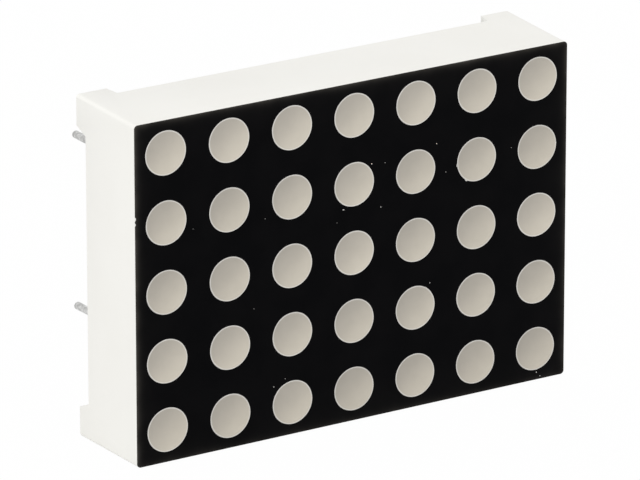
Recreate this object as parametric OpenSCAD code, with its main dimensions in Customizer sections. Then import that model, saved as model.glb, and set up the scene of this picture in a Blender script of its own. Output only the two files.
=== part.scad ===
// LED dot matrix display with a moulded reflector housing.
// Every part is drawn with the display lying face up: X runs along the long side, Y along the
// short side, and depth runs down from the front face at Z = 0. The last step stands it on its
// lower long side, facing -Y, with the origin under the middle of its outer box.

/* [Dot grid] */
// Number of dot columns, along the long side
dot_cols = 7; // [5:1:7]
// Number of dot rows, along the short side
dot_rows = 5; // [3:1:5]
// Distance from one dot's centre to the next
dot_pitch = 3.81; // [3.7:0.01:4.3]
// Diameter of a dot at the front face
dot_d = 2.45; // [2:0.01:2.8]
// Depth of the shallow dish that the resin shrinks into
dot_dish = 0.06; // [0.02:0.01:0.12]

/* [Housing] */
// Distance from the outer dots' centres to the short edge of the front face
side_margin = 1.85; // [1.7:0.01:3]
// Distance from the outer dots' centres to the long edge of the front face
long_margin = 1.78; // [1.7:0.01:3]
// How much further out each side of the housing stands at the feet than at the front face
draft = 0.1; // [0.05:0.01:0.2]
// Depth of the housing from its front face to the rim between the feet
body_d = 4.9; // [4.8:0.05:8]
// Thickness of the wall round the circuit board
wall = 0.8; // [0.6:0.05:0.9]
// Radius of the housing's four outer corners
corner_r = 0.2; // [0.05:0.01:0.5]
// Radius of the inner corners of the wall
pocket_r = 0.3; // [0.2:0.01:0.6]

/* [Corner feet] */
// Height of the feet above the rim
foot_h = 0.9; // [0.3:0.05:2]
// Length of a foot's tip along the long side
foot_long = 1.8; // [1:0.05:3]
// Length of a foot's tip along the short side
foot_short = 1.7; // [1:0.05:3]
// How much longer the foot is at the rim, along the long side
foot_slope_long = 0.15; // [0:0.01:0.6]
// How much longer the foot is at the rim, along the short side
foot_slope_short = 0.37; // [0:0.01:0.6]

/* [Reflector cups] */
// Depth from the front face to the face that the circuit board seats on
seat_d = 3.4; // [2.6:0.05:3.8]
// Diameter of a cup where it meets the circuit board
cup_back_d = 1.7; // [1.6:0.01:1.9]
// Length of the straight lip at the mouth of a cup
cup_lip = 0.4; // [0.1:0.05:0.8]

/* [Face ink] */
// Thickness of the black ink on the front face
ink_t = 0.05; // [0.03:0.01:0.1]
// How far the ink stands back from the mouth of a cup
ink_setback = 0.03; // [0.01:0.005:0.06]

/* [Circuit board] */
// Thickness of the circuit board
board_t = 1; // [0.8:0.05:1.2]
// Gap between the circuit board and the wall round it
board_gap = 0.1; // [0.03:0.01:0.15]
// Thickness of the copper lands
land_t = 0.035; // [0.02:0.005:0.07]
// Side of the square land under a die
die_land_w = 0.6; // [0.5:0.01:0.7]
// Width of the land under the far end of a bond wire
wire_land_w = 0.3; // [0.25:0.01:0.35]
// Length of the land under the far end of a bond wire
wire_land_l = 0.5; // [0.3:0.01:0.6]
// Space between a bond wire's land and the wall of its cup
wire_land_gap = 0.06; // [0.04:0.01:0.08]
// Diameter of the round land at each pin
pin_land_d = 1.5; // [1.4:0.05:1.7]

/* [LED dice] */
// Side of a square LED die
die_w = 0.3; // [0.2:0.01:0.4]
// Height of an LED die
die_h = 0.25; // [0.15:0.01:0.35]
// Thickness and width of a bond wire
wire_t = 0.03; // [0.02:0.005:0.05]
// Length of each end of a bond wire that lies on its die or land
wire_bond_l = 0.08; // [0.05:0.01:0.1]
// Height of a bond wire's loop above its die
wire_loop_h = 0.15; // [0.08:0.01:0.3]

/* [Pins] */
// Number of pins in each of the two rows
pins_in_row = 6; // [2:1:6]
// Distance from one pin's centre to the next in a row
pin_pitch = 3.81; // [3.7:0.01:3.95]
// Distance between the two rows of pins
pin_row_gap = 9.525; // [9.2:0.005:10.2]
// Diameter of a pin
pin_d = 0.42; // [0.35:0.01:0.6]
// Length of a pin past the tips of the feet
pin_out = 6.75; // [3:0.05:12]
// Length of the bevel on a pin's tip
pin_bevel = 0.05; // [0.02:0.01:0.1]
// How far a pin's root stands out all round at the front of the board, where it is widest
pin_root_swell = 0.03; // [0.01:0.01:0.06]
// Solder between a pin's root and the wall of its hole
solder_gap = 0.06; // [0.04:0.01:0.1]
// Width and height of the solder fillet round a pin
fillet_w = 0.42; // [0.3:0.01:0.45]
// Thickness of the solder at the thin ends of its fillet
fillet_edge = 0.04; // [0.03:0.01:0.06]

/* [Hidden] */
dot_r = dot_d / 2;
cup_r = dot_r - ink_setback;
cup_back_r = cup_back_d / 2;
face_w = (dot_cols - 1) * dot_pitch + 2 * side_margin;
face_h = (dot_rows - 1) * dot_pitch + 2 * long_margin;
body_w = face_w + 2 * draft;
body_h = face_h + 2 * draft;
feet_d = body_d + foot_h;
overall_d = feet_d + pin_out;
board_back_d = seat_d + board_t;
pin_r = pin_d / 2;
pin_root_r = pin_r + pin_root_swell;
pin_hole_r = pin_root_r + solder_gap;
land_back_d = board_back_d + land_t;
pin_root_back_d = land_back_d + fillet_w;
// Radius of the sphere that the resin's dish is part of
dish_sphere_r = (dot_r * dot_r + dot_dish * dot_dish) / (2 * dot_dish);
// A cut runs this far past the faces that it opens
past = 1;
// Facet counts that stand for a true circle, and for one of which only a short arc is used
round_fn = 64;
arc_fn = 720;

// Centres of the dots, from the middle of the face
function dot_x(col) = (col - (dot_cols + 1) / 2) * dot_pitch;
function dot_y(row) = ((dot_rows + 1) / 2 - row) * dot_pitch;
// Pins count along the lower row and back along the upper one
function pin_x(n) = (min(n, 2 * pins_in_row + 1 - n) - (pins_in_row + 1) / 2) * pin_pitch;
function pin_y(n) = (n <= pins_in_row ? -1 : 1) * pin_row_gap / 2;
function dot_name(row, col) = str("dot_row", row, "_col", col);
function pin_name(n) = str("pin_", n);

// Stands the face-up drawing on its lower long side
module stand() {
    translate([0, -overall_d / 2, body_h / 2]) rotate([90, 0, 0]) children();
}

module at_dot(row, col) {
    translate([dot_x(col), dot_y(row), 0]) children();
}

module at_each_dot() {
    for (row = [1:dot_rows], col = [1:dot_cols]) at_dot(row, col) children();
}

module at_pin(n) {
    translate([pin_x(n), pin_y(n), 0]) children();
}

module at_each_pin() {
    for (n = [1:2 * pins_in_row]) at_pin(n) children();
}

// Flat rectangle with round corners
module rounded_rect(w, h, r) {
    square([w - 2 * r, h], center = true);
    square([w, h - 2 * r], center = true);
    for (x = [-1, 1], y = [-1, 1])
        translate([x * (w / 2 - r), y * (h / 2 - r)]) circle(r, $fn = round_fn);
}

// A flat shape, filled from one depth down to another
module layer(from_d, to_d) {
    translate([0, 0, -to_d]) linear_extrude(to_d - from_d) children();
}

// Outline of the front face
module face_outline() {
    rounded_rect(face_w, face_h, corner_r);
}

// The body down to the tips of the feet, its sides drawn out by the draft
module drafted_body() {
    translate([0, 0, -ink_t]) mirror([0, 0, 1])
        linear_extrude(feet_d - ink_t, scale = [body_w / face_w, body_h / face_h]) face_outline();
}

// Outline of the space inside the wall, less a gap all round
module pocket_outline(gap) {
    rounded_rect(body_w - 2 * (wall + gap), body_h - 2 * (wall + gap), pocket_r - gap);
}

// Half section of the space that one dot fills: the hole in the ink, the straight lip of a cup,
// and the cone that narrows towards the board
module dot_section() {
    polygon([
        [0, 0],
        [dot_r, 0],
        [dot_r, -ink_t],
        [cup_r, -ink_t],
        [cup_r, -ink_t - cup_lip],
        [cup_back_r, -seat_d],
        [0, -seat_d]
    ]);
}

// The gap in the rim between two feet, wider at their tips than at the rim
module rim_notch(side, tip, slope, across) {
    half_tip = side / 2 - tip;
    half_rim = half_tip - slope;
    rotate([90, 0, 0]) linear_extrude(across + 2 * past, center = true)
        polygon([
            [-half_rim, -body_d],
            [half_rim, -body_d],
            [half_tip, -feet_d],
            [half_tip, -feet_d - past],
            [-half_tip, -feet_d - past],
            [-half_tip, -feet_d]
        ]);
}

module housing_shell() {
    difference() {
        drafted_body();
        layer(seat_d, feet_d + past) pocket_outline(0);
        rim_notch(body_w, foot_long, foot_slope_long, body_h);
        rotate(90) rim_notch(body_h, foot_short, foot_slope_short, body_w);
    }
}

module reflector_housing() {
    color("ivory") difference() {
        housing_shell();
        at_each_dot() rotate_extrude($fn = round_fn) dot_section();
    }
}

module face_ink() {
    color("black") layer(0, ink_t) difference() {
        face_outline();
        at_each_dot() circle(dot_r, $fn = round_fn);
    }
}

// Land under a die, and the one beside it for the wire, carried on under the seat by extra
module die_lands(extra = 0) {
    layer(seat_d - land_t, seat_d + extra) {
        square(die_land_w, center = true);
        translate([cup_back_r - wire_land_gap - wire_land_w / 2, 0])
            square([wire_land_w, wire_land_l], center = true);
    }
}

// A block of a given depth under the top face of a die
module die_block(depth) {
    top_d = seat_d - land_t - die_h;
    layer(top_d, top_d + depth) square(die_w, center = true);
}

// Loop of wire from the top of the die to the far land, its ends thickened down by root
module bond_wire(root = 0) {
    land_top = land_t - seat_d;
    die_top = land_top + die_h;
    wire_end = cup_back_r - wire_land_gap - (wire_land_w - wire_bond_l) / 2;
    loop_start = wire_bond_l / 2 + wire_t;
    loop_end = (loop_start + wire_end) / 2;
    path = [
        [-wire_bond_l / 2, die_top],
        [wire_bond_l / 2, die_top],
        [loop_start, die_top + wire_loop_h],
        [loop_end, die_top + wire_loop_h],
        [wire_end - wire_bond_l, land_top],
        [wire_end, land_top]
    ];
    back = [for (i = [len(path) - 1:-1:0]) path[i] + [0, wire_t]];
    rotate([90, 0, 0]) linear_extrude(wire_t, center = true) {
        polygon(concat(path, back));
        if (root > 0) {
            translate(path[0] - [0, root]) square([wire_bond_l, root + wire_t]);
            translate(path[4] - [0, root]) square([wire_bond_l, root + wire_t]);
        }
    }
}

// The room that the resin leaves round what sits on the board inside one cup
module contents_room() {
    die_lands(past);
    die_block(die_h + land_t + past);
    bond_wire(land_t + past);
}

// Milky resin that fills one cup and the hole in the ink over it, with a shallow dished face
module dot_fill() {
    color("tan") difference() {
        rotate_extrude($fn = round_fn) difference() {
            dot_section();
            translate([0, dish_sphere_r - dot_dish]) circle(dish_sphere_r, $fn = arc_fn);
        }
        contents_room();
    }
}

module circuit_board() {
    color("seagreen") layer(seat_d, board_back_d) difference() {
        pocket_outline(board_gap);
        at_each_pin() circle(pin_hole_r, $fn = round_fn);
    }
}

module copper_lands() {
    color("goldenrod") {
        at_each_dot() die_lands();
        layer(board_back_d, land_back_d) at_each_pin() difference() {
            circle(d = pin_land_d, $fn = round_fn);
            circle(pin_hole_r, $fn = round_fn);
        }
    }
}

module led_dice() {
    color("khaki") at_each_dot() die_block(die_h);
}

module bond_wires() {
    color("gold") at_each_dot() bond_wire();
}

// Half the outline of a straight round pin with a bevelled tip, from the front of the board
// to the back of the display, and a root that tapers off where the solder ends
module pin_section() {
    polygon([
        [0, -seat_d],
        [pin_root_r, -seat_d],
        [pin_r, -pin_root_back_d],
        [pin_r, pin_bevel - overall_d],
        [pin_r - pin_bevel, -overall_d],
        [0, -overall_d]
    ]);
}

// Solder in the hole round a pin's root, with a hollow fillet on the back of the board
module solder_joint() {
    rotate_extrude($fn = round_fn) difference() {
        union() {
            translate([0, -land_back_d]) square([pin_hole_r, land_back_d - seat_d]);
            translate([pin_r, -pin_root_back_d]) difference() {
                square(fillet_w);
                translate([fillet_w, 0]) circle(fillet_w - fillet_edge, $fn = round_fn);
            }
        }
        pin_section();
    }
}

module solder_joints() {
    color("lightgray") at_each_pin() solder_joint();
}

module pin() {
    color("silver") rotate_extrude($fn = round_fn) pin_section();
}

stand() reflector_housing();
stand() face_ink();
stand() circuit_board();
stand() copper_lands();
stand() led_dice();
stand() bond_wires();
stand() solder_joints();
for (row = [1:dot_rows], col = [1:dot_cols])
    stand() at_dot(row, col) dot_fill();
for (n = [1:2 * pins_in_row])
    stand() at_pin(n) pin();
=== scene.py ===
# %% [markdown]
# # A five by seven LED dot matrix
# This notebook dresses a construction model of a small display for a still picture. It keeps the
# model's own places and sizes: X runs along the face, Y from the face to the pins and Z upwards.

# %% Tools and the construction model
import math
import random

import bmesh
import bpy
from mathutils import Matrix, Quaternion, Vector, noise


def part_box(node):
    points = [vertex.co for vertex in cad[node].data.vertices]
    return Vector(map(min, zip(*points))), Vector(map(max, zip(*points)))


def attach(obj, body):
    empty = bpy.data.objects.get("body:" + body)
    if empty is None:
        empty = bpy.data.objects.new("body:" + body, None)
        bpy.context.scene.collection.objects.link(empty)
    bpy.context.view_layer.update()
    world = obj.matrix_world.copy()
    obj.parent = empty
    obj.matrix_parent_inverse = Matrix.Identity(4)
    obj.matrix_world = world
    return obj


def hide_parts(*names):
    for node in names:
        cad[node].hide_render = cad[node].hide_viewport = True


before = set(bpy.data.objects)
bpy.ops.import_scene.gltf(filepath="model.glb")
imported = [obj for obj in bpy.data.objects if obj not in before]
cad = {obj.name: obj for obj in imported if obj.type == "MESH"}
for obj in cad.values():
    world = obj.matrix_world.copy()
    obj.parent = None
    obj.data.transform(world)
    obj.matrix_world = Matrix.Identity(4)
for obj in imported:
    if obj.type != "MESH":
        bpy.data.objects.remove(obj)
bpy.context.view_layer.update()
MM = 0.001

# %% [markdown]
# ## Sizes that come from the model
# Every place below is measured on the construction model, so a changed model moves the looks too.

# %% Measured places
ROWS, COLS = 5, 7
ink_lo, ink_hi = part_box("face_ink")
dot_boxes = {(r, c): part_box(f"dot_row{r}_col{c}") for r in range(1, ROWS + 1) for c in range(1, COLS + 1)}
dot_lo, dot_hi = dot_boxes[(1, 1)]
FACE_Y = ink_lo.y
FACE_MID = (ink_lo + ink_hi) / 2
DOT_R = (dot_hi.x - dot_lo.x) / 2
DOT_DEEP = dot_hi.y - dot_lo.y
INK_T = ink_hi.y - ink_lo.y
dots = {key: Vector(((lo.x + hi.x) / 2, FACE_Y, (lo.z + hi.z) / 2)) for key, (lo, hi) in dot_boxes.items()}
PINS = [f"pin_{n}" for n in range(1, 13)]
pin_boxes = {name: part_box(name) for name in PINS}
pitch = (dots[(1, 2)].x - dots[(1, 1)].x) / MM
print("dot radius", round(DOT_R / MM, 3), "mm; pitch", round(pitch, 3), "mm")

# %% [markdown]
# ## Shader node groups
# Two effects are used by several materials, so each is a group: a smooth mask from noise, and a
# fine grain that ends in a surface normal. Both work in the object's own coordinates.

# %% Node helpers and shared groups


def put(tree, kind, where, **sockets):
    """Adds a node, and sets its inputs by name."""
    node = tree.nodes.new(kind)
    node.location = where
    for name, value in sockets.items():
        node.inputs[name.replace("_", " ")].default_value = value
    return node


def sums(tree, where, operation, first, second=None):
    """One step of arithmetic on values or sockets."""
    node = tree.nodes.new("ShaderNodeMath")
    node.operation = operation
    node.location = where
    for socket, value in zip(node.inputs, (first, second)):
        if isinstance(value, bpy.types.NodeSocket):
            tree.links.new(value, socket)
        elif value is not None:
            socket.default_value = value
    return node.outputs[0]


def vector_step(tree, where, operation, first, second=None):
    """One step of vector arithmetic. For SCALE the second value is the factor."""
    node = tree.nodes.new("ShaderNodeVectorMath")
    node.operation = operation
    node.location = where
    tree.links.new(first, node.inputs[0])
    target = node.inputs["Scale"] if operation == "SCALE" else node.inputs[1]
    if isinstance(second, bpy.types.NodeSocket):
        tree.links.new(second, target)
    elif second is not None:
        target.default_value = second
    return node


def add_sockets(tree, kind, starts):
    """Adds one input of a kind for each name, with its starting value."""
    for name, start in starts.items():
        socket = tree.interface.new_socket(name=name, in_out="INPUT", socket_type=kind)
        if start is not None:
            socket.default_value = start


def make_mask_group():
    """Noise turned into a mask from 0 to 1, with the edges of its patches set by From and To."""
    tree = bpy.data.node_groups.new("noise_mask", "ShaderNodeTree")
    add_sockets(tree, "NodeSocketFloat", {"Scale": 300.0, "Detail": 3.0, "From": 0.45, "To": 0.6})
    tree.interface.new_socket(name="Mask", in_out="OUTPUT", socket_type="NodeSocketFloat")
    inside = put(tree, "NodeGroupInput", (-700, 0))
    where = put(tree, "ShaderNodeTexCoord", (-700, 250))
    grain = put(tree, "ShaderNodeTexNoise", (-280, 100))
    ramp = put(tree, "ShaderNodeMapRange", (-60, 100))
    ramp.interpolation_type = "SMOOTHSTEP"
    out = put(tree, "NodeGroupOutput", (160, 100))
    link = tree.links.new
    link(where.outputs["Object"], grain.inputs["Vector"])
    link(inside.outputs["Scale"], grain.inputs["Scale"])
    link(inside.outputs["Detail"], grain.inputs["Detail"])
    link(grain.outputs["Fac"], ramp.inputs["Value"])
    link(inside.outputs["From"], ramp.inputs["From Min"])
    link(inside.outputs["To"], ramp.inputs["From Max"])
    link(ramp.outputs["Result"], out.inputs["Mask"])
    return tree


def make_grain_group():
    """A fine moulded or printed grain as a normal."""
    tree = bpy.data.node_groups.new("surface_grain", "ShaderNodeTree")
    add_sockets(tree, "NodeSocketFloat", {"Scale": 4000.0, "Height": 0.00001, "Strength": 0.2})
    tree.interface.new_socket(name="Normal", in_out="OUTPUT", socket_type="NodeSocketVector")
    inside = put(tree, "NodeGroupInput", (-700, 0))
    where = put(tree, "ShaderNodeTexCoord", (-700, 250))
    grain = put(tree, "ShaderNodeTexNoise", (-400, 150), Detail=4.0, Roughness=0.6)
    bump = put(tree, "ShaderNodeBump", (-100, 100))
    out = put(tree, "NodeGroupOutput", (120, 100))
    link = tree.links.new
    link(where.outputs["Object"], grain.inputs["Vector"])
    link(inside.outputs["Scale"], grain.inputs["Scale"])
    link(grain.outputs["Fac"], bump.inputs["Height"])
    link(inside.outputs["Height"], bump.inputs["Distance"])
    link(inside.outputs["Strength"], bump.inputs["Strength"])
    link(bump.outputs["Normal"], out.inputs["Normal"])
    return tree


MASK_GROUP = make_mask_group()
GRAIN_GROUP = make_grain_group()
print("shader groups:", MASK_GROUP.name, GRAIN_GROUP.name)

# %% [markdown]
# ## Materials
# Every material starts the same way: a Principled shader, a little change of colour from one
# place to the next and a fine grain. The ones that need more add it afterwards.

# %% Material helpers


def group_node(tree, group, where, **sockets):
    """Adds a node for a shader group and sets its inputs."""
    node = tree.nodes.new("ShaderNodeGroup")
    node.node_tree = group
    node.location = where
    for name, value in sockets.items():
        node.inputs[name].default_value = value
    return node


def mix_colours(tree, where, first, second, factor):
    """Mixes two colours. Each may be a colour or an output socket."""
    node = tree.nodes.new("ShaderNodeMix")
    node.data_type = "RGBA"
    node.location = where
    for socket, value in ((node.inputs[6], first), (node.inputs[7], second), (node.inputs[0], factor)):
        if isinstance(value, bpy.types.NodeSocket):
            tree.links.new(value, socket)
        elif isinstance(value, float):
            socket.default_value = value
        else:
            socket.default_value = (*value, 1.0)
    return node.outputs[2]


def base_material(name, colour, second, patch_scale, grain_scale, grain_height, grain_strength, **sockets):
    """A Principled material whose colour drifts between two tones, with a fine grain."""
    mat = bpy.data.materials.new(name)
    mat.use_nodes = True
    tree = mat.node_tree
    shader = tree.nodes["Principled BSDF"]
    for key, value in sockets.items():
        shader.inputs[key.replace("_", " ")].default_value = value
    mask = group_node(tree, MASK_GROUP, (-900, 300), Scale=patch_scale, Detail=3.0, From=0.35, To=0.65)
    tone = mix_colours(tree, (-650, 300), colour, second, mask.outputs["Mask"])
    tree.links.new(tone, shader.inputs["Base Color"])
    grain = group_node(
        tree, GRAIN_GROUP, (-650, -300), Scale=grain_scale, Height=grain_height, Strength=grain_strength
    )
    tree.links.new(grain.outputs["Normal"], shader.inputs["Normal"])
    mat.diffuse_color = (*colour, 1.0)
    return mat, tree, shader, tone


# %% [markdown]
# ### White moulded plastic
# The shell is a warm white plastic with a satin skin.

# %% Housing plastic
plastic, _, _, _ = base_material(
    "housing_plastic", (0.874, 0.865, 0.825), (0.862, 0.852, 0.810), 220.0, 6000.0, 0.000006, 0.12,
    Roughness=0.5, Specular_IOR_Level=0.35,
)
print("made", plastic.name)

# %% [markdown]
# ### Black printed ink
# The ink is matt and nearly black. Towards the edges of the face it carries painted light, a pale
# warm glare that is strongest along the left edge.

# %% Face ink
ink, tree, shader, tone = base_material(
    "black_ink", (0.0020, 0.0020, 0.0024), (0.0028, 0.0027, 0.0031), 500.0, 9000.0, 0.000003, 0.15,
    Roughness=0.75, Specular_IOR_Level=0.03,
)
where = put(tree, "ShaderNodeTexCoord", (-1500, 0))
split = put(tree, "ShaderNodeSeparateXYZ", (-1300, 0))
tree.links.new(where.outputs["Object"], split.inputs[0])
uneven_glare = group_node(tree, MASK_GROUP, (-1300, -250), Scale=900.0, Detail=4.0, From=0.2, To=0.8)
greys = None
NEAR_REACH, WIDE_REACH, WIDE_GREY = 0.12, 0.9, 0.0021
# Each edge of the face: its axis, its place, the way in from it and how strong its painted light is.
edges = (
    ("X", ink_lo.x, 1.0, 0.045), ("X", ink_hi.x, -1.0, 0.034),
    ("Z", ink_hi.z, -1.0, 0.036), ("Z", ink_lo.z, 1.0, 0.019),
)
for number, (axis, edge, sign, amount) in enumerate(edges):
    y = -400 - 200 * number
    gap = sums(tree, (-1200, y), "SUBTRACT", split.outputs[axis], edge)
    gap = sums(tree, (-1100, y), "MULTIPLY", gap, sign)
    for strength, reach in ((amount, NEAR_REACH), (WIDE_GREY, WIDE_REACH)):
        faded = sums(tree, (-1000, y), "EXPONENT", sums(tree, (-1050, y), "DIVIDE", gap, -reach * MM))
        part = sums(tree, (-900, y), "MULTIPLY", faded, strength)
        greys = part if greys is None else sums(tree, (-800, y), "ADD", greys, part)
# the painted light along the edges is patchy
uneven = sums(tree, (-750, -500), "MULTIPLY", uneven_glare.outputs["Mask"], 0.8)
uneven = sums(tree, (-700, -500), "ADD", uneven, 0.6)
greys = sums(tree, (-600, -500), "MULTIPLY", greys, uneven)
# painted light: near the edges the ink is mixed towards a warm pale tone
tree.links.new(mix_colours(tree, (-400, 300), tone, (1.0, 0.92, 0.80), greys), shader.inputs["Base Color"])
print("made", ink.name, "with", len(edges), "greyed edges")

# %% [markdown]
# ### Milky resin
# Near its rim the resin is thin over the white wall, so it is lighter there. Each dot also carries
# painted shade and light: it is painted darker towards its upper left and lighter towards its lower
# right. Every dot is drawn about its own middle, which is stored on its vertices.

# %% Dot resin
resin, tree, shader, tone = base_material(
    "dot_resin", (0.492, 0.455, 0.392), (0.470, 0.436, 0.378), 1500.0, 5000.0, 0.000008, 0.15,
    Roughness=0.5, Specular_IOR_Level=0.25, IOR=1.45,
)
spot = put(tree, "ShaderNodeAttribute", (-1500, 0))
spot.attribute_name = "from_middle"
lot = put(tree, "ShaderNodeAttribute", (-1500, -600))
lot.attribute_name = "lot"
UNEVEN = 0.035  # how far patches, and one dot against another, differ in brightness
# painted light: along this way across a dot the resin is painted lighter, and darker against it
PAINTED_LIGHT_WAY = (0.60, 0.0, -0.80)  # the way across a dot in which the resin gets lighter
across = vector_step(tree, (-1300, 0), "DOT_PRODUCT", spot.outputs["Vector"], PAINTED_LIGHT_WAY)
radial = vector_step(tree, (-1300, -400), "LENGTH", spot.outputs["Vector"])


def smooth_range(tree, where, low, high, value):
    """Turns a range of values into 0 to 1, with soft ends."""
    node = put(tree, "ShaderNodeMapRange", where, From_Min=low, From_Max=high)
    node.interpolation_type = "SMOOTHSTEP"
    tree.links.new(value, node.inputs["Value"])
    return node


# painted shade and light: 0 at the upper left of a dot, 1 at its lower right
painted_shading = smooth_range(tree, (-1000, -100), -0.95, 1.15, across.outputs["Value"])
rim = smooth_range(tree, (-1000, -400), 0.92, 0.975, radial.outputs["Value"])
# the painted shaded tone and the painted lit tone of the resin
tone = mix_colours(tree, (-700, 500), (0.405, 0.376, 0.330), (0.590, 0.545, 0.462), painted_shading.outputs["Result"])
lit = sums(tree, (-700, -400), "MULTIPLY", rim.outputs["Result"], 0.62)
tone = mix_colours(tree, (-500, 500), tone, (0.80, 0.79, 0.76), lit)
blotch = group_node(tree, MASK_GROUP, (-900, -700), Scale=1300.0, Detail=3.0, From=0.3, To=0.7)
patches = sums(tree, (-800, -700), "MULTIPLY", blotch.outputs["Mask"], UNEVEN)
batches = sums(tree, (-900, -850), "MULTIPLY", lot.outputs["Fac"], UNEVEN)
batches = sums(tree, (-800, -850), "ADD", batches, 1.0 - UNEVEN / 2)
level = sums(tree, (-700, -700), "ADD", patches, batches)
scaled = vector_step(tree, (-300, 500), "SCALE", tone, level)
tree.links.new(scaled.outputs[0], shader.inputs["Base Color"])
print("made", resin.name)

# %% [markdown]
# ### Board, copper, metal and what the resin hides
# The back of the display shows a green board, gilded lands, bright solder and tinned pins.

# %% Board and metal materials
laminate, _, _, _ = base_material(
    "board_laminate", (0.020, 0.115, 0.045), (0.026, 0.135, 0.055), 260.0, 3500.0, 0.00001, 0.2,
    Roughness=0.35, Specular_IOR_Level=0.5, Coat_Weight=0.4, Coat_Roughness=0.2,
)
copper, _, _, _ = base_material(
    "land_copper", (0.83, 0.60, 0.27), (0.76, 0.53, 0.23), 800.0, 9000.0, 0.000004, 0.2,
    Metallic=1.0, Roughness=0.35,
)
die, _, _, _ = base_material(
    "led_die", (0.50, 0.42, 0.20), (0.42, 0.36, 0.18), 3000.0, 9000.0, 0.000002, 0.1,
    Roughness=0.3,
)
gold, _, _, _ = base_material(
    "bond_gold", (0.95, 0.72, 0.30), (0.90, 0.66, 0.26), 3000.0, 9000.0, 0.000002, 0.1,
    Metallic=1.0, Roughness=0.25,
)
solder, _, _, _ = base_material(
    "solder", (0.62, 0.62, 0.61), (0.50, 0.50, 0.49), 1800.0, 5000.0, 0.000008, 0.3,
    Metallic=1.0, Roughness=0.28,
)
tin, _, _, _ = base_material(
    "tinned_pin", (0.68, 0.68, 0.67), (0.46, 0.46, 0.45), 4500.0, 7000.0, 0.000006, 0.25,
    Metallic=1.0, Roughness=0.38,
)
grain_white, _, _, _ = base_material(
    "speck_grain", (0.85, 0.84, 0.80), (0.50, 0.49, 0.46), 6000.0, 9000.0, 0.000003, 0.1,
    Roughness=0.8, Specular_IOR_Level=0.2,
)
FINISHES = {"circuit_board": laminate, "copper_lands": copper, "led_dice": die, "bond_wires": gold}
for name, finish in FINISHES.items():
    cad[name].data.materials.clear()
    cad[name].data.materials.append(finish)
print("materials:", len(bpy.data.materials))

# %% [markdown]
# ## One way to keep a finished piece
# A new piece gets its material, rides on the model's only body and hides the construction nodes
# that it stands for.

# %% Finishing helper


def keep_piece(obj, material, nodes=()):
    """Gives a piece its material and its place in the frame."""
    obj.data.materials.clear()
    obj.data.materials.append(material)
    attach(obj, "root")
    if nodes:
        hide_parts(*nodes)
    return obj


def link_mesh(name, mesh):
    """Puts a mesh in the scene as an object at the origin."""
    obj = bpy.data.objects.new(name, mesh)
    bpy.context.scene.collection.objects.link(obj)
    return obj


def add_tree(obj, tree, values):
    """Adds a Geometry Nodes tree to an object, with its inputs set by socket identifier."""
    change = obj.modifiers.new(tree.name, "NODES")
    change.node_group = tree
    ids = {item.name: item.identifier for item in tree.interface.items_tree if item.in_out == "INPUT"}
    for key, value in values.items():
        change[ids[key]] = value


def baked(obj, name):
    """The object with its modifiers worked into a plain mesh."""
    graph = bpy.context.evaluated_depsgraph_get()
    mesh = bpy.data.meshes.new_from_object(obj.evaluated_get(graph))
    mesh.name = name
    bpy.data.objects.remove(obj)
    return link_mesh(name, mesh)


# %% [markdown]
# ## The shell
# A copy of the construction mesh is merged and cleaned, and its outer edges get a small round,
# as a moulding has, behind the cups. The cups stay sharp, because ink and resin cover them.

# %% Housing
EDGE_ROUND = 0.05 * MM
SHORT_EDGE = 0.1 * MM
BACK_PART = 3.5 * MM
SHARP = math.radians(35)
mesh = cad["reflector_housing"].data.copy()
mesh.name = "housing_shell"
bm = bmesh.new()
bm.from_mesh(mesh)
bmesh.ops.remove_doubles(bm, verts=bm.verts, dist=0.0000005)
bmesh.ops.dissolve_limit(bm, angle_limit=math.radians(0.5), verts=bm.verts, edges=bm.edges)
weight = bm.edges.layers.float.new("bevel_weight_edge")
rounded = 0
for edge in bm.edges:
    a, b = (v.co for v in edge.verts)
    behind = min(a.y, b.y) > FACE_Y + BACK_PART
    sharp = len(edge.link_faces) == 2 and edge.calc_face_angle(0.0) > SHARP
    if sharp and behind and (a - b).length > SHORT_EDGE:
        edge[weight] = 1.0
        rounded += 1
bm.to_mesh(mesh)
bm.free()
shell = link_mesh("housing_shell", mesh)
edge_round = shell.modifiers.new("edge_round", "BEVEL")
edge_round.limit_method = "WEIGHT"
edge_round.width = EDGE_ROUND
edge_round.segments = 3
shell = baked(shell, "housing_shell")
shell.data.shade_smooth()
shell.data.set_sharp_from_angle(angle=SHARP)
keep_piece(shell, plastic, ("reflector_housing",))
print("rounded edges:", rounded, " shell faces:", len(shell.data.polygons))

# %% [markdown]
# ## The printed face
# The ink is one thin sheet with a hole for each dot. A print is never perfect, so each hole's
# rim wanders a little. A few rims have nicks, and the left edge has two small chips.

# %% Ink sheet
INK_BACK = 0.006 * MM
# For some dots, nicks in the rim: the angle in degrees, the depth in mm and the width in degrees.
NICKS = {
    (2, 6): ((186, 0.06, 4), (239, 0.07, 4)), (2, 7): ((0, 0.04, 4),),
    (5, 7): ((276, 0.04, 3), (40, 0.015, 5)),
}


def face_point(x, z):
    """Millimetres from the face's middle to the drawing plane of the sheet."""
    return x * MM, FACE_MID.z + z * MM


def hole_rim(key, steps=96):
    """The rim of one hole, with its small waves and nicks."""
    centre = dots[key]
    rim_seed = key[0] * 10 + key[1]
    points = []
    for step in range(steps):
        angle = 2 * math.pi * step / steps
        spot = Vector((math.cos(angle) * 1.6, math.sin(angle) * 1.6, rim_seed * 3.7))
        radius = DOT_R + 0.012 * MM * noise.noise(spot) + 0.006 * MM * noise.noise(spot * 4.0)
        for at, depth, width in NICKS.get(key, ()):
            away = (math.degrees(angle) - at + 180) % 360 - 180
            radius += depth * MM * math.exp(-(away / width) ** 2)
        points.append((centre.x + radius * math.cos(angle), centre.z + radius * math.sin(angle)))
    return points


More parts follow.
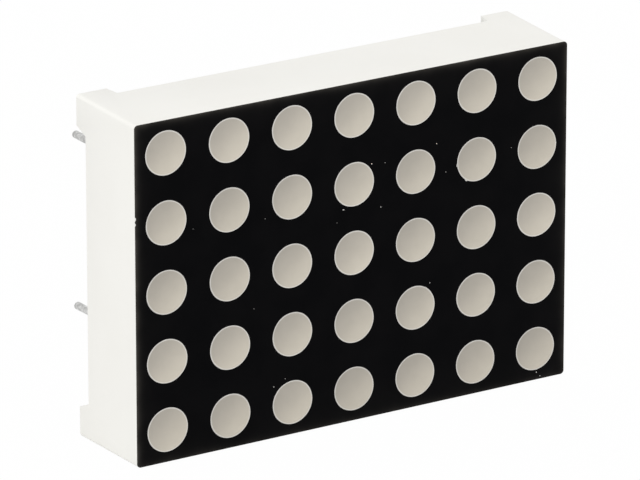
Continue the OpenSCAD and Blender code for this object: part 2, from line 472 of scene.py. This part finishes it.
def sheet_outline():
    """The outer edge of the sheet, with short round corners and the chips."""
    corner = 0.2
    half_w, half_h = (FACE_MID.x + ink_hi.x) / MM, (ink_hi.z - ink_lo.z) / 2 / MM
    points = []
    for cx, cz, start in ((1, 1, 0), (-1, 1, 90), (-1, -1, 180), (1, -1, 270)):
        for step in range(7):
            angle = math.radians(start + 15 * step)
            points.append((cx * (half_w - corner) + corner * math.cos(angle),
                           cz * (half_h - corner) + corner * math.sin(angle)))
        if (cx, cz) == (-1, 1):
            for middle, size in ((4.32, 0.13), (4.02, 0.10)):
                points += [(-half_w, middle + size), (-half_w + size * 0.6, middle + size * 0.3),
                           (-half_w + size * 0.5, middle - size * 0.5), (-half_w, middle - size)]
    return [face_point(x, z) for x, z in points]


flat = bpy.data.curves.new("ink_drawing", "CURVE")
flat.dimensions = "2D"
flat.fill_mode = "BOTH"
flat.extrude = (INK_T - INK_BACK) / 2
for points in [sheet_outline()] + [hole_rim(key) for key in dots]:
    line = flat.splines.new("POLY")
    line.points.add(len(points) - 1)
    for point, (x, z) in zip(line.points, points):
        point.co = (x, z, 0.0, 1.0)
    line.use_cyclic_u = True
drawing = bpy.data.objects.new("ink_drawing", flat)
bpy.context.scene.collection.objects.link(drawing)
sheet = baked(drawing, "face_ink_sheet")
bm = bmesh.new()
bm.from_mesh(sheet.data)
for vert in bm.verts:
    x, z, depth = vert.co
    vert.co = (x, FACE_Y + INK_BACK + (INK_T - INK_BACK) / 2 - depth, z)
bmesh.ops.remove_doubles(bm, verts=bm.verts, dist=0.0000001)
bmesh.ops.recalc_face_normals(bm, faces=bm.faces)
bm.to_mesh(sheet.data)
bm.free()
sheet.data.shade_flat()
keep_piece(sheet, ink, ("face_ink",))
print("ink sheet faces:", len(sheet.data.polygons), " nicks:", sum(len(v) for v in NICKS.values()))

# %% [markdown]
# ## A lathe in Geometry Nodes
# The dots, pins and solder joints are all turned shapes. One tree turns a half outline round its
# axis, lets the skin wander by a set amount and leans the far end sideways.

# %% Lathe tree
WELD = 0.0000004


def make_lathe():
    """Input geometry: the outline's points in order, X for the radius and Z along the axis."""
    tree = bpy.data.node_groups.new("lathe", "GeometryNodeTree")
    face = tree.interface.new_socket
    face(name="Geometry", in_out="INPUT", socket_type="NodeSocketGeometry")
    add_sockets(tree, "NodeSocketInt", {"Segments": 48})
    add_sockets(tree, "NodeSocketFloat", {"Wander": 0.0, "Wander Scale": 1000.0, "Seed": 0.0})
    add_sockets(tree, "NodeSocketFloat", {"Lean From": 0.0})
    add_sockets(tree, "NodeSocketVector", {"Lean": None})
    add_sockets(tree, "NodeSocketMaterial", {"Material": None})
    face(name="Geometry", in_out="OUTPUT", socket_type="NodeSocketGeometry")
    given = put(tree, "NodeGroupInput", (-1400, 0))
    out = put(tree, "NodeGroupOutput", (1400, 0))
    link = tree.links.new

    def value(kind, where, first, second=None):
        return sums(tree, where, kind, first, second)

    count = put(tree, "GeometryNodeAttributeDomainSize", (-1200, 200))
    link(given.outputs["Geometry"], count.inputs[0])
    rings = put(tree, "GeometryNodeMeshGrid", (-900, 200))
    link(value("ADD", (-1050, 300), given.outputs["Segments"], 1.0), rings.inputs["Vertices X"])
    link(count.outputs["Point Count"], rings.inputs["Vertices Y"])
    index = put(tree, "GeometryNodeInputIndex", (-1200, -100))
    share = value("DIVIDE", (-1050, -100), index.outputs[0], count.outputs["Point Count"])
    step = value("FLOOR", (-900, -100), share)
    place = value("SUBTRACT", (-600, -200), index.outputs[0],
                  value("MULTIPLY", (-750, -200), step, count.outputs["Point Count"]))
    turn = value("DIVIDE", (-750, -50), step, given.outputs["Segments"])
    angle = value("MULTIPLY", (-600, -50), turn, 2 * math.pi)
    sample = put(tree, "GeometryNodeSampleIndex", (-400, -200))
    sample.data_type = "FLOAT_VECTOR"
    outline = put(tree, "GeometryNodeInputPosition", (-600, -400))
    link(given.outputs["Geometry"], sample.inputs["Geometry"])
    link(outline.outputs[0], sample.inputs["Value"])
    link(place, sample.inputs["Index"])
    split = put(tree, "ShaderNodeSeparateXYZ", (-200, -200))
    link(sample.outputs["Value"], split.inputs[0])
    radius = split.outputs["X"]
    turned = put(tree, "ShaderNodeCombineXYZ", (200, -100))
    link(value("MULTIPLY", (0, 0), radius, value("COSINE", (-200, 50), angle)), turned.inputs["X"])
    link(value("MULTIPLY", (0, -100), radius, value("SINE", (-200, -50), angle)), turned.inputs["Y"])
    link(split.outputs["Z"], turned.inputs["Z"])
    shaped = put(tree, "GeometryNodeSetPosition", (400, 200))
    link(rings.outputs["Mesh"], shaped.inputs["Geometry"])
    link(turned.outputs[0], shaped.inputs["Position"])
    welded = put(tree, "GeometryNodeMergeByDistance", (600, 200))
    welded.inputs["Distance"].default_value = WELD
    link(shaped.outputs[0], welded.inputs["Geometry"])
    here = put(tree, "GeometryNodeInputPosition", (400, -300))
    grain = put(tree, "ShaderNodeTexNoise", (600, -300), Detail=2.0)
    grain.noise_dimensions = "4D"
    link(here.outputs[0], grain.inputs["Vector"])
    link(given.outputs["Seed"], grain.inputs["W"])
    link(given.outputs["Wander Scale"], grain.inputs["Scale"])
    amount = value("MULTIPLY", (800, -300), value("SUBTRACT", (700, -200), grain.outputs["Fac"], 0.5),
                   given.outputs["Wander"])
    normal = put(tree, "GeometryNodeInputNormal", (600, -500))
    push = vector_step(tree, (900, -300), "SCALE", normal.outputs[0], amount)
    height = put(tree, "ShaderNodeSeparateXYZ", (600, -700))
    link(here.outputs[0], height.inputs[0])
    past = value("MAXIMUM", (800, -700), value("SUBTRACT", (700, -700), height.outputs["Z"],
                                               given.outputs["Lean From"]), 0.0)
    lean = vector_step(tree, (900, -600), "SCALE", given.outputs["Lean"], past)
    both = vector_step(tree, (1000, -400), "ADD", push.outputs[0], lean.outputs[0])
    moved = put(tree, "GeometryNodeSetPosition", (1000, 200))
    link(welded.outputs[0], moved.inputs["Geometry"])
    link(both.outputs[0], moved.inputs["Offset"])
    real = put(tree, "GeometryNodeRealizeInstances", (1100, 200))
    link(moved.outputs[0], real.inputs[0])
    finish = put(tree, "GeometryNodeSetMaterial", (1200, 200))
    link(real.outputs[0], finish.inputs["Geometry"])
    link(given.outputs["Material"], finish.inputs["Material"])
    link(finish.outputs[0], out.inputs[0])
    return tree


LATHE = make_lathe()


def turned(name, outline, centre, material, segments=48, wander=0.0, wander_scale=1000.0, seed=0.0,
           lean=(0.0, 0.0), lean_from=0.0, lot=0.0):
    """A turned piece whose axis runs back from the face. The outline is (radius, depth) in mm."""
    mesh = bpy.data.meshes.new(name)
    corners = [(r * MM, 0.0, d * MM) for r, d in outline]
    mesh.from_pydata(corners, [(i, i + 1) for i in range(len(outline) - 1)], [])
    obj = link_mesh(name, mesh)
    values = {"Segments": segments, "Wander": wander * MM, "Wander Scale": wander_scale, "Seed": float(seed),
              "Lean": (lean[0], lean[1], 0.0), "Lean From": lean_from * MM, "Material": material}
    add_tree(obj, LATHE, values)
    obj = baked(obj, name)
    bm = bmesh.new()
    bm.from_mesh(obj.data)
    store = bm.verts.layers.float_vector.new("from_middle")
    batch = bm.verts.layers.float.new("lot")
    for vert in bm.verts:
        x, y, z = vert.co
        vert[store] = (x / DOT_R, 0.0, y / DOT_R)
        vert[batch] = lot
        vert.co = (centre.x + x, centre.y + z, centre.z + y)
    bmesh.ops.recalc_face_normals(bm, faces=bm.faces)
    bm.to_mesh(obj.data)
    bm.free()
    obj.data.shade_smooth()
    obj.data.set_sharp_from_angle(angle=SHARP)
    return obj


print("lathe nodes:", len(LATHE.nodes))

# %% [markdown]
# ## The dots
# Each dot is filled with resin that ends in a shallow dish just under the rim. No two fills are
# quite alike, so the depth of the dish and the waves of its skin change from dot to dot.

# %% Resin dots
DISH, RIM_DROP, RIM_GAP = 0.06, 0.012, 0.002
chance = random.Random(35)


def dot_outline(dish, rim_drop):
    """Half the outline of one fill in mm: the dish, its rounded rim, and the cup's wall and seat."""
    r = DOT_R / MM
    points = [(r * 0.93 * i / 12, dish - (dish - rim_drop) * (i / 12) ** 2) for i in range(13)]
    points += [(r * 0.965, rim_drop * 0.6), (r * 0.985, rim_drop * 0.75), (r - RIM_GAP, rim_drop + 0.012)]
    points += [(r - RIM_GAP, INK_T / MM), (r - 0.03, INK_T / MM)]
    points += [(r - 0.3, DOT_DEEP / MM), (0.0, DOT_DEEP / MM)]
    return points


for (row, col), centre in dots.items():
    outline = dot_outline(DISH + chance.uniform(-0.008, 0.012), RIM_DROP)
    fill = turned(
        f"resin_row{row}_col{col}", outline, centre, resin,
        segments=56, wander=0.02, wander_scale=900.0, seed=row * 10 + col, lot=chance.uniform(-1, 1),
    )
    keep_piece(fill, resin, (f"dot_row{row}_col{col}",))
print("dots:", len(dots))

# %% [markdown]
# ## Pins and solder
# The pins were cut from tinned wire and none stands perfectly straight. The two at the left
# droop a little. The lean grows from the solder to the tip.

# %% Pins and solder joints
PIN_R, ROOT_R = 0.21, 0.235
JOINT_FOOT, JOINT_SWEEP, JOINT_CORE, JOINT_BODY = 0.63, 0.38, 0.15, 0.30
# How far the tips of the two pins at the left lie off the straight line, across and up, in mm.
LEANS = {"pin_1": (-0.09, -0.22), "pin_12": (-0.09, -0.075)}
_, solder_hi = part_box("solder_joints")
_, land_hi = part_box("copper_lands")


def pin_middle(name):
    """The middle of a pin's front end."""
    lo, hi = pin_boxes[name]
    return Vector(((lo.x + hi.x) / 2, lo.y, (lo.z + hi.z) / 2))


for name in PINS:
    lo, hi = pin_boxes[name]
    middle = pin_middle(name)
    length = (hi.y - lo.y) / MM
    start = (solder_hi.y - lo.y) / MM
    dx, dz = LEANS.get(name, (chance.uniform(-0.10, 0.10), chance.uniform(-0.14, 0.08)))
    r = PIN_R
    outline = [(0.0, 0.0), (ROOT_R, 0.0), (r, start)]
    outline += [(r, start + (length - start) * i / 10) for i in range(1, 10)]
    outline += [(r, length - 0.06), (r - 0.02, length - 0.02), (r - 0.055, length), (0.0, length)]
    pin = turned(name + "_wire", outline, middle, tin, segments=40, wander=0.012, wander_scale=700.0,
                 seed=PINS.index(name), lean=(dx / (length - start), dz / (length - start)), lean_from=start)
    keep_piece(pin, tin, (name,))
joints = []
for name in PINS:
    lo, _ = pin_boxes[name]
    middle = pin_middle(name)
    land = (land_hi.y - lo.y) / MM
    top = (solder_hi.y - lo.y) / MM
    bends = [math.radians(9 * i) for i in range(11)]
    curve = [(JOINT_FOOT - JOINT_SWEEP * math.sin(bend), land + (top - land) * (1 - math.cos(bend)))
             for bend in bends]
    outline = [(JOINT_CORE, 0.0), (JOINT_BODY, 0.0), (JOINT_BODY, land), *curve, (JOINT_CORE, top)]
    outline.append(outline[0])
    joints.append(turned(name + "_solder", outline, middle, solder, segments=40, wander=0.03,
                         wander_scale=900.0, seed=PINS.index(name) + 20))
bpy.ops.object.select_all(action="DESELECT")
for joint in joints:
    joint.select_set(True)
bpy.context.view_layer.objects.active = joints[0]
bpy.ops.object.join()
joints[0].name = "solder_fillets"
keep_piece(joints[0], solder, ("solder_joints",))
print("pins:", len(PINS), " solder joints:", len(joints))

# %% [markdown]
# ## Specks on the ink
# A few pale grains of dust stick to the black face. Each is listed, and a Geometry Nodes
# tree gives it its turn and size.

# %% Specks
GRAIN_DEPTH, GRAIN_THICK = 0.022 * MM, 0.02 * MM
# Each grain from the middle of the face: across, up, half its width and half its height, in mm.
SPECKS = (
    (-5.47, 2.91, 0.06, 0.04), (-9.82, 3.18, 0.05, 0.04), (1.09, 4.74, 0.07, 0.05),
    (1.90, 4.65, 0.05, 0.04), (5.13, 5.12, 0.08, 0.03), (5.70, 3.45, 0.05, 0.04),
    (1.66, 2.25, 0.05, 0.07), (-0.63, 2.51, 0.12, 0.04), (-1.06, 1.87, 0.05, 0.04),
    (4.73, -2.59, 0.05, 0.05), (-6.16, -1.94, 0.05, 0.04), (-4.27, -6.22, 0.05, 0.04),
    (-4.95, -6.54, 0.06, 0.04), (11.77, -9.25, 0.06, 0.05), (11.55, -9.00, 0.07, 0.05),
    (9.80, 4.05, 0.03, 0.06),
)
tree = bpy.data.node_groups.new("scattered_grains", "GeometryNodeTree")
tree.interface.new_socket(name="Geometry", in_out="INPUT", socket_type="NodeSocketGeometry")
add_sockets(tree, "NodeSocketInt", {"Seed": None})
add_sockets(tree, "NodeSocketFloat", {"Size": 1.0})
add_sockets(tree, "NodeSocketMaterial", {"Material": None})
tree.interface.new_socket(name="Geometry", in_out="OUTPUT", socket_type="NodeSocketGeometry")
given = put(tree, "NodeGroupInput", (-600, 0))
grain = put(tree, "GeometryNodeMeshIcoSphere", (-600, -200), Radius=1.0, Subdivisions=1)
turn = put(tree, "FunctionNodeRandomValue", (-600, -400))
turn.data_type = "FLOAT_VECTOR"
turn.inputs["Max"].default_value = (0.3, 0.5, 0.3)
size = put(tree, "GeometryNodeInputNamedAttribute", (-600, -600), Name="size")
size.data_type = "FLOAT_VECTOR"
scale = vector_step(tree, (-100, -500), "SCALE", size.outputs[0], given.outputs["Size"])
lay = put(tree, "GeometryNodeInstanceOnPoints", (0, 0))
real = put(tree, "GeometryNodeRealizeInstances", (200, 0))
finish = put(tree, "GeometryNodeSetMaterial", (400, 0))
out = put(tree, "NodeGroupOutput", (600, 0))
link = tree.links.new
link(given.outputs["Geometry"], lay.inputs["Points"])
link(given.outputs["Seed"], turn.inputs["Seed"])
link(grain.outputs["Mesh"], lay.inputs["Instance"])
link(turn.outputs["Value"], lay.inputs["Rotation"])
link(scale.outputs[0], lay.inputs["Scale"])
link(lay.outputs[0], real.inputs[0])
link(real.outputs[0], finish.inputs["Geometry"])
link(given.outputs["Material"], finish.inputs["Material"])
link(finish.outputs[0], out.inputs[0])
mesh = bpy.data.meshes.new("grains")
mesh.from_pydata([(x * MM, FACE_Y + GRAIN_DEPTH, FACE_MID.z + z * MM) for x, z, _, _ in SPECKS], [], [])
sizes = mesh.attributes.new("size", "FLOAT_VECTOR", "POINT")
for item, (_, _, wide, high) in zip(sizes.data, SPECKS):
    item.vector = (wide * MM, GRAIN_THICK, high * MM)
grains = link_mesh("grains", mesh)
add_tree(grains, tree, {"Seed": 4, "Size": 1.0, "Material": grain_white})
grains = baked(grains, "ink_specks")
keep_piece(grains, grain_white)
print("specks:", len(SPECKS))

# %% [markdown]
# ## Floor, light and camera
# The floor and the sky show white to the camera and in reflections, while the light on the
# display stays at a plain level: a soft even sky and one large lamp from the upper left.

# %% Stage
FLOOR_HALF, FLOOR_DROP, FLOOR_WHITE, SKY = 3, 0.00002, 0.985, 0.86


def seen_directly(tree):
    """1 for rays from the camera, from reflections and through clear pieces, else 0."""
    rays = put(tree, "ShaderNodeLightPath", (-600, 400))
    second = sums(tree, (-500, 400), "MAXIMUM", rays.outputs["Is Glossy Ray"],
                  rays.outputs["Is Transmission Ray"])
    return sums(tree, (-400, 400), "MAXIMUM", rays.outputs["Is Camera Ray"], second)


floor_mesh = bpy.data.meshes.new("floor")
corners = [(x * FLOOR_HALF, y * FLOOR_HALF, 0) for x, y in ((-1, -1), (1, -1), (1, 1), (-1, 1))]
floor_mesh.from_pydata(corners, [], [(0, 1, 2, 3)])
floor = link_mesh("floor", floor_mesh)
floor.location.z = -FLOOR_DROP
paper = bpy.data.materials.new("floor_paper")
paper.use_nodes = True
tree = paper.node_tree
matt = tree.nodes["Principled BSDF"]
matt.inputs["Base Color"].default_value = (0.8, 0.8, 0.8, 1.0)
matt.inputs["Roughness"].default_value = 0.9
white = put(tree, "ShaderNodeEmission", (-200, 300), Color=(1.0, 1.0, 1.0, 1.0), Strength=1.0)
blend = put(tree, "ShaderNodeMixShader", (100, 200))
tree.links.new(sums(tree, (-100, 500), "MULTIPLY", seen_directly(tree), FLOOR_WHITE), blend.inputs[0])
tree.links.new(matt.outputs[0], blend.inputs[1])
tree.links.new(white.outputs[0], blend.inputs[2])
tree.links.new(blend.outputs[0], tree.nodes["Material Output"].inputs["Surface"])
floor_mesh.materials.append(paper)

world = bpy.data.worlds.new("studio")
bpy.context.scene.world = world
world.use_nodes = True
tree = world.node_tree
sky = tree.nodes["Background"]
sky.inputs["Color"].default_value = (1.0, 1.0, 1.0, 1.0)
sky.inputs["Strength"].default_value = SKY
plain = put(tree, "ShaderNodeBackground", (0, -200), Color=(1.0, 1.0, 1.0, 1.0), Strength=1.0)
blend = put(tree, "ShaderNodeMixShader", (200, 0))
tree.links.new(seen_directly(tree), blend.inputs[0])
tree.links.new(sky.outputs[0], blend.inputs[1])
tree.links.new(plain.outputs[0], blend.inputs[2])
tree.links.new(blend.outputs[0], tree.nodes["World Output"].inputs["Surface"])


def soft_lamp(name, where, aim, size, watts):
    """A square lamp that points at a place."""
    data = bpy.data.lights.new(name, "AREA")
    data.size = size
    data.energy = watts
    obj = bpy.data.objects.new(name, data)
    obj.location = where
    obj.rotation_euler = (Vector(aim) - Vector(where)).to_track_quat("-Z", "Y").to_euler()
    bpy.context.scene.collection.objects.link(obj)
    return obj


soft_lamp("key", (-0.30, -0.26, 0.28), (0, 0, 0.009), 0.16, 0.66)

# %% [markdown]
# ## Camera
# A long lens looks from the left and a little from above.

# %% Camera
AZIMUTH, ELEVATION, ROLL, DISTANCE, LENS = -31.706, 19.690, -0.03, 0.38878, 418.14
aim = Vector((-2.117 * MM, FACE_Y, FACE_MID.z + 1.120 * MM))
a, e = math.radians(AZIMUTH), math.radians(ELEVATION)
back = Vector((math.sin(a) * math.cos(e), -math.cos(a) * math.cos(e), math.sin(e)))
lens = bpy.data.cameras.new("camera")
lens.lens = LENS
lens.sensor_width = 36.0
lens.clip_start, lens.clip_end = 0.02, 20.0
camera = bpy.data.objects.new("camera", lens)
camera.location = aim + back * DISTANCE
camera.rotation_mode = "QUATERNION"
camera.rotation_quaternion = (-back).to_track_quat("-Z", "Y") @ Quaternion((0, 0, 1), math.radians(ROLL))
bpy.context.scene.collection.objects.link(camera)
bpy.context.scene.camera = camera
view = bpy.context.scene.view_settings
view.view_transform = "Standard"
print("camera at", [round(v, 4) for v in camera.location])
